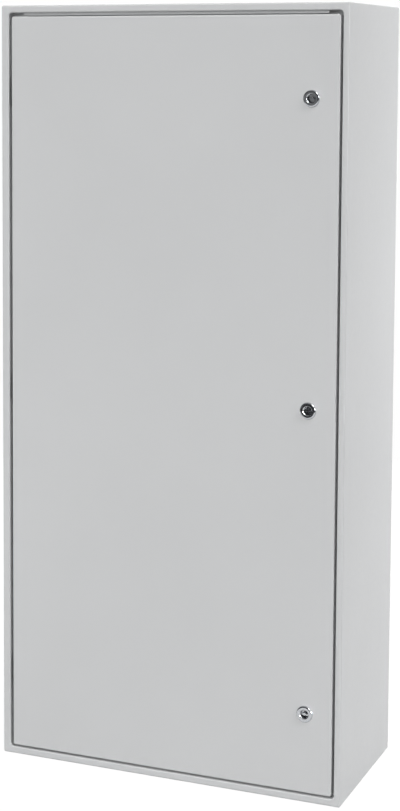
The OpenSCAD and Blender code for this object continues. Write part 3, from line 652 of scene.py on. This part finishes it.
def pan_screw(box, axis, sign, shank, head, pitch=0.8):
    """Pan-head screw: threaded shank, head with a round of elliptic arc, and a six-lobed socket.

    The socket's radius is r (1 + lobe cos 6t). Its r and the radius of the flat top are shares of the head's
    radius, and the upright wall is a share of its height; the arc makes up the rest.
    """
    socket, lobe, flat_top, wall = 0.43, 0.13, 0.56, 0.35
    size = box[1] - box[0]
    length, edge = size[axis], np.delete(size, axis).max() / 2
    base = length - head
    lobes = socket * edge * (1 + lobe * np.cos(6 * TURN))
    last = math.acos(flat_top)
    a = np.linspace(0, last, 7)[1:]
    rise = base + head * (wall + (1 - wall) * np.sin(a) / math.sin(last))
    rings = [
        (shank - 0.9, 0.0),
        *thread(shank, 0.8, base - 0.4, pitch),
        (shank, base),
        (edge - 0.25, base),
        (edge, base + 0.25),
        (edge, base + wall * head),
        *zip(edge * np.cos(a), rise),
        (lobes, length),
        (0.94 * lobes, length - 0.55 * head),
        (0.2 * lobes, length - 0.66 * head),
    ]
    return spun(box, axis, sign, rings)


def hex_screw(box, axis, sign, flats, shank, head, pitch):
    """Hexagon screw; the corners of its head are turned down at 30 degrees to a round face."""
    length = (box[1] - box[0])[axis]
    base = length - head
    six, face = hexagon(flats), HEX_FACE * flats
    drop = (six - face) * HEX_SLOPE
    rings = [
        (shank - THREAD_END * pitch, 0.0),
        *thread(shank, THREAD_END * pitch, base - 0.5, pitch),
        (shank, base),
        (six - 0.2, base),
        (six, base + 0.2),
        (six, length - drop),
        (face, length),
        (0.62 * face, length),
        (0.5 * face, length - 0.35),
    ]
    return spun(box, axis, sign, rings)


def hex_nut(box, axis, flats, bore, pitch):
    """Hexagon nut with both faces turned down at the corners and a threaded bore."""
    height = (box[1] - box[0])[axis]
    six, face = hexagon(flats), HEX_FACE * flats
    drop = (six - face) * HEX_SLOPE
    ridges = thread(bore + THREAD_DEPTH * pitch, 0.5 * pitch, height - 0.5 * pitch, pitch)
    rings = [
        (face, 0.0),
        (six, drop),
        (six, height - drop),
        (face, height),
        (bore + THREAD_END * pitch, height),
        *[(radius, height - depth) for radius, depth in ridges],
        (bore + THREAD_END * pitch, 0.0),
    ]
    return spun(box, axis, 1, rings, True)


def stud(box, axis, sign, radius, foot, pitch):
    """Welded stud: a low round foot where it has one, a threaded shank and a turned-down end."""
    size = box[1] - box[0]
    length, edge = size[axis], np.delete(size, axis).max() / 2
    rings = []
    if foot:
        rings = [(edge - 0.3, 0.0), (edge, 0.3), (edge, foot - 0.4), (edge - 0.4, foot)]
    rings += [(radius, foot), *thread(radius, foot + 1.0, length - THREAD_END * pitch, pitch)]
    return spun(box, axis, sign, [*rings, (radius - THREAD_END * pitch, length)])


def fasteners(name, node, make, **sizes):
    """One piece for all the solids of a node, each made to its own box."""
    points, faces, total = [], [], 0
    for box in solid_boxes(node):
        more, blocks = make(box, **sizes)
        points.append(more)
        faces += [block + total for block in blocks]
        total += len(more)
    piece(name, np.concatenate(points), faces, (node,))


def make_fasteners():
    """Screws, nuts and studs, in millimetres; sign is the way along the axis from the tail to the head."""
    small_screw = {"shank": 2.5, "head": 2.5}
    plate_screw = {"shank": 4.0, "head": 5.3, "flats": 13.0, "pitch": 1.25}
    cam_screw = {"shank": 2.5, "head": 3.5, "flats": 12.0, "pitch": 0.8}
    large_nut = {"flats": 13.0, "bore": 4.1, "pitch": 1.25}
    small_nut = {"flats": 10.0, "bore": 3.1, "pitch": 1.0}
    barrel_nut = {"flats": 32.0, "bore": 13.15, "pitch": 1.5}
    large_stud = {"radius": 4.0, "foot": 1.5, "pitch": 1.25}
    small_stud = {"radius": 3.0, "foot": 0.0, "pitch": 1.0}
    fasteners("rear_cover_screws", "rear_panel_screws", pan_screw, axis=Y, sign=1, **small_screw)
    fasteners("hinge_fixing_screws", "hinge_screws", pan_screw, axis=Y, sign=-1, **small_screw)
    fasteners("plate_hex_screws", "plate_bolts", hex_screw, axis=Y, sign=-1, **plate_screw)
    fasteners("plate_hex_nuts", "plate_nuts", hex_nut, axis=Y, **large_nut)
    fasteners("cover_studs", "gland_studs", stud, axis=Z, sign=1, **small_stud)
    fasteners("cover_nuts", "gland_nuts", hex_nut, axis=Z, **small_nut)
    fasteners("body_ground_stud", "body_earth_stud", stud, axis=X, sign=1, **large_stud)
    fasteners("body_ground_nut", "body_earth_nut", hex_nut, axis=X, **large_nut)
    fasteners("door_ground_stud", "door_earth_stud", stud, axis=Y, sign=1, **large_stud)
    fasteners("door_ground_nut", "door_earth_nut", hex_nut, axis=Y, **large_nut)
    fasteners("barrel_nuts", "lock_nuts", hex_nut, axis=Y, **barrel_nut)
    for level in LEVELS:
        fasteners(f"cam_hex_screw_{level}", f"cam_screw_{level}", hex_screw, axis=Y, sign=1, **cam_screw)


def weigh_normals(mesh):
    """Makes the normal at a point the sum of its faces' normals times their areas, so flats look flat."""
    normal, area = np.empty(len(mesh.polygons) * 3), np.empty(len(mesh.polygons))
    corners = np.empty(len(mesh.polygons), int)
    place = np.empty(len(mesh.loops), int)
    mesh.polygons.foreach_get("normal", normal)
    mesh.polygons.foreach_get("area", area)
    mesh.polygons.foreach_get("loop_total", corners)
    mesh.loops.foreach_get("vertex_index", place)
    facing = np.zeros((len(mesh.vertices), 3))
    np.add.at(facing, place, np.repeat(normal.reshape(-1, 3) * area[:, None], corners, 0))
    facing /= np.linalg.norm(facing, axis=1, keepdims=True)
    mesh.normals_split_custom_set_from_vertices(facing.tolist())


def ease(node, width):
    """A merged copy of a CAD node whose sharper edges are rounded off, to a width in millimetres."""
    work = bmesh.new()
    work.from_mesh(nodes[node].data)
    bmesh.ops.remove_doubles(work, verts=work.verts, dist=WELD / 2)
    bmesh.ops.dissolve_limit(work, angle_limit=FLAT_BELOW, verts=work.verts, edges=work.edges)
    bmesh.ops.bevel(
        work,
        geom=[e for e in work.edges if e.is_manifold and e.calc_face_angle() > EASE_ABOVE],
        offset=width * MM,
        offset_type="OFFSET",
        segments=2,
        profile=0.5,
        affect="EDGES",
        clamp_overlap=True,
    )
    mesh = close_mesh(work, f"{node}_eased")
    weigh_normals(mesh)
    put_in_place(mesh.name, mesh, (node,))


make_frame()
make_wrap()
make_door()
make_door_seal()
make_gland_seal()
make_fasteners()
# Widths of the eased edges, in millimetres; the small chromed parts have the finest.
HINGE_EASE = {"hinge_block": 0.5, "hinge_lugs": 0.4, "hinge_pin": 0.4}
LOCK_EASE = {"lock_housing": 0.25, "lock_core": 0.25, "lock_cam": 0.5}
SHEET_EASE, THIN_EASE = 0.4, 0.3
for level in LEVELS:
    for part, width in (HINGE_EASE | LOCK_EASE).items():
        ease(f"{part}_{level}", width)
for sheet_node in ("base_panel", "rear_panel", "gland_plate", "mounting_plate", "plate_brackets"):
    ease(sheet_node, SHEET_EASE)
for thin_node in ("drip_strip", "door_rail_left", "door_rail_right"):
    ease(thin_node, THIN_EASE)

# Stage: pale floor, white backdrop, soft light.
EVEN_LIGHT = 0.315
WHITE = linear("#FFFFFF")
PHOTO_WIDTH, PHOTO_HEIGHT = 400.0, 811.0
SENSOR = 36.0


def set_camera():
    """Camera of the photograph, from its focal length and principal point in pixels.

    Its axes are turned by azimuth and elevation, then rolled about the line of sight; the shift is the
    distance of the principal point from the middle of the picture over the picture's longer side.
    """
    focal, centre_x, centre_y = 1816.7, 150.0, 225.0
    place = (1.5808, -4.0049, 1.6585)
    az, el, roll = np.radians([23.121, 4.980, 0.220])
    back = Vector((math.sin(az) * math.cos(el), -math.cos(az) * math.cos(el), math.sin(el)))
    right = Vector((math.cos(az), math.sin(az), 0.0))
    across = right * math.cos(roll) + back.cross(right) * math.sin(roll)
    data = bpy.data.cameras.new("camera")
    data.sensor_width = SENSOR
    data.lens = focal * SENSOR / PHOTO_HEIGHT
    data.shift_x = (PHOTO_WIDTH / 2 - centre_x) / PHOTO_HEIGHT
    data.shift_y = (centre_y - PHOTO_HEIGHT / 2) / PHOTO_HEIGHT
    data.clip_end = 100.0
    camera = bpy.data.objects.new("camera", data)
    bpy.context.scene.collection.objects.link(camera)
    turned = Matrix((across, back.cross(across), back)).transposed().to_4x4()
    camera.matrix_world = Matrix.Translation(place) @ turned
    bpy.context.scene.camera = camera


def ray_is(tree, *kinds):
    """An output that is 1 for a ray of any of these kinds, by the names of the light path, and else 0."""
    path = add(tree, "ShaderNodeLightPath")
    found = path.outputs[kinds[0]]
    for kind in kinds[1:]:
        found = add(tree, "ShaderNodeMath", {0: found, 1: path.outputs[kind]}, operation="MAXIMUM")
    return found


def make_floor():
    """A pale round floor; to the camera and in gloss it is near white, so that it runs into the backdrop.

    Its rim is radius times (cos t, sin t), half a millimetre under the cabinet.
    """
    radius, count = 3.4, 96
    t = np.arange(count) * 2 * math.pi / count
    edge = np.stack([radius * np.cos(t), radius * np.sin(t), np.full(count, -0.5 * MM)], 1)
    mesh = bpy.data.meshes.new("studio_floor")
    mesh.from_pydata(edge.tolist(), [], [list(range(count))])
    material = bpy.data.materials.new("pale_floor")
    material.use_nodes = True
    tree = material.node_tree
    tree.nodes.clear()
    matt = add(tree, "ShaderNodeBsdfPrincipled", {"Base Color": linear("#979797"), "Roughness": 0.9})
    white = add(tree, "ShaderNodeEmission", {"Color": WHITE, "Strength": 0.9})
    shade = add(tree, "ShaderNodeBsdfDiffuse", {"Color": linear("#616161")})
    pale = add(tree, "ShaderNodeAddShader", {0: white, 1: shade})
    seen = ray_is(tree, "Is Camera Ray", "Is Glossy Ray", "Is Transmission Ray")
    mixed = add(tree, "ShaderNodeMixShader", {0: seen, 1: matt, 2: pale})
    add(tree, "ShaderNodeOutputMaterial", {"Surface": mixed})
    mesh.materials.append(material)
    floor = bpy.data.objects.new("studio_floor", mesh)
    bpy.context.scene.collection.objects.link(floor)


def make_world():
    """White to the camera, even light for matt surfaces, and for gloss a room with a white backdrop.

    The height of a glossy ray runs through colour stops, a pale floor, a dark room and a dim ceiling; as the
    ray turns to the left, a grey wall shows at eye level, and as it turns to the back, the room gives way
    to the white backdrop.
    """
    world = bpy.data.worlds.new("studio")
    bpy.context.scene.world = world
    world.use_nodes = True
    tree = world.node_tree
    tree.nodes.clear()
    toward = add(tree, "ShaderNodeTexCoord").outputs["Generated"]
    split = add(tree, "ShaderNodeSeparateXYZ", {"Vector": toward})
    height = add(tree, "ShaderNodeMapRange", {"Value": split.outputs["Z"], "From Min": -1.0})
    pale, dim, grey, dark = linear("#E1E1E1"), linear("#B3B3B3"), linear("#AAAAAA"), linear("#3C3C3F")
    low, high = [(0.345, pale), (0.385, dark)], [(0.80, dark), (0.92, dim)]
    wall = [(0.455, dark), (0.475, grey), (0.535, grey), (0.57, dark)]
    room = add(tree, "ShaderNodeValToRGB", {"Fac": height}, [*low, *high])
    left_room = add(tree, "ShaderNodeValToRGB", {"Fac": height}, [*low, *wall, *high])
    to_left = add(
        tree, "ShaderNodeMapRange", {"Value": split.outputs["X"], "From Min": -0.15, "From Max": -0.45}
    )
    # A Mix node has its two colours at sockets 6 and 7, and their mix at output 2.
    whole_room = add(tree, "ShaderNodeMix", {0: to_left, 6: room, 7: left_room}, data_type="RGBA")
    behind = add(
        tree, "ShaderNodeMapRange", {"Value": split.outputs["Y"], "From Min": 0.1, "From Max": 0.6}
    )
    in_front = add(tree, "ShaderNodeBackground", {"Color": whole_room.outputs[2]})
    backdrop = add(tree, "ShaderNodeBackground", {"Color": WHITE})
    even = add(tree, "ShaderNodeBackground", {"Color": WHITE, "Strength": EVEN_LIGHT})
    gloss = add(tree, "ShaderNodeMixShader", {0: behind, 1: in_front, 2: backdrop})
    lit = add(tree, "ShaderNodeMixShader", {0: ray_is(tree, "Is Glossy Ray"), 1: even, 2: gloss})
    unlit = ray_is(tree, "Is Camera Ray", "Is Transmission Ray")
    seen = add(tree, "ShaderNodeMixShader", {0: unlit, 1: lit, 2: backdrop})
    add(tree, "ShaderNodeOutputWorld", {"Surface": seen})


def hang_lamp(name, data, place, target, in_gloss=False, in_matt=True):
    """Hangs a lamp at a place and points it at a target; the last two say which shading it reaches."""
    lamp = bpy.data.objects.new(name, data)
    lamp.location = place
    lamp.rotation_mode = "QUATERNION"
    lamp.rotation_quaternion = (Vector(place) - Vector(target)).to_track_quat("Z", "Y")
    lamp.visible_glossy = in_gloss
    lamp.visible_diffuse = in_matt
    lamp.visible_camera = False
    bpy.context.scene.collection.objects.link(lamp)


def add_sun(name, azimuth, elevation, angle, share, **reach):
    """A far soft light: azimuth 0 is in front, 90 at the right, and share 1 lights a facing sheet to 1."""
    a, e = math.radians(azimuth), math.radians(elevation)
    toward = Vector((math.sin(a) * math.cos(e), -math.cos(a) * math.cos(e), math.sin(e)))
    data = bpy.data.lights.new(name, "SUN")
    data.angle = math.radians(angle)
    data.energy = share * math.pi
    hang_lamp(name, data, toward * 6.0, (0.0, 0.0, 0.0), **reach)


def add_strip(name, place, target, width, height, watts):
    """An upright strip lamp near the cabinet, so that its light falls off over the side panel."""
    data = bpy.data.lights.new(name, "AREA")
    data.shape = "RECTANGLE"
    data.size, data.size_y = width, height
    data.energy = watts
    hang_lamp(name, data, place, target)


set_camera()
make_floor()
make_world()
add_sun("key_light", azimuth=75, elevation=50, angle=30, share=0.62, in_gloss=True)
add_sun("front_light", azimuth=-8, elevation=28, angle=40, share=0.44)
add_sun("fill_light", azimuth=-50, elevation=5, angle=40, share=0.27)
add_sun("back_light", azimuth=200, elevation=25, angle=40, share=0.5)
# The edge light only draws the bright lines on the rounded upright edges, so matt shading doesn't get it.
add_sun("edge_light", azimuth=67, elevation=12, angle=3, share=2.7, in_gloss=True, in_matt=False)
add_strip("side_strip", (1.3, 1.0, 1.25), (0.425, 0.05, 1.15), width=0.4, height=1.8, watts=9.5)
bpy.context.scene.view_settings.view_transform = "Standard"
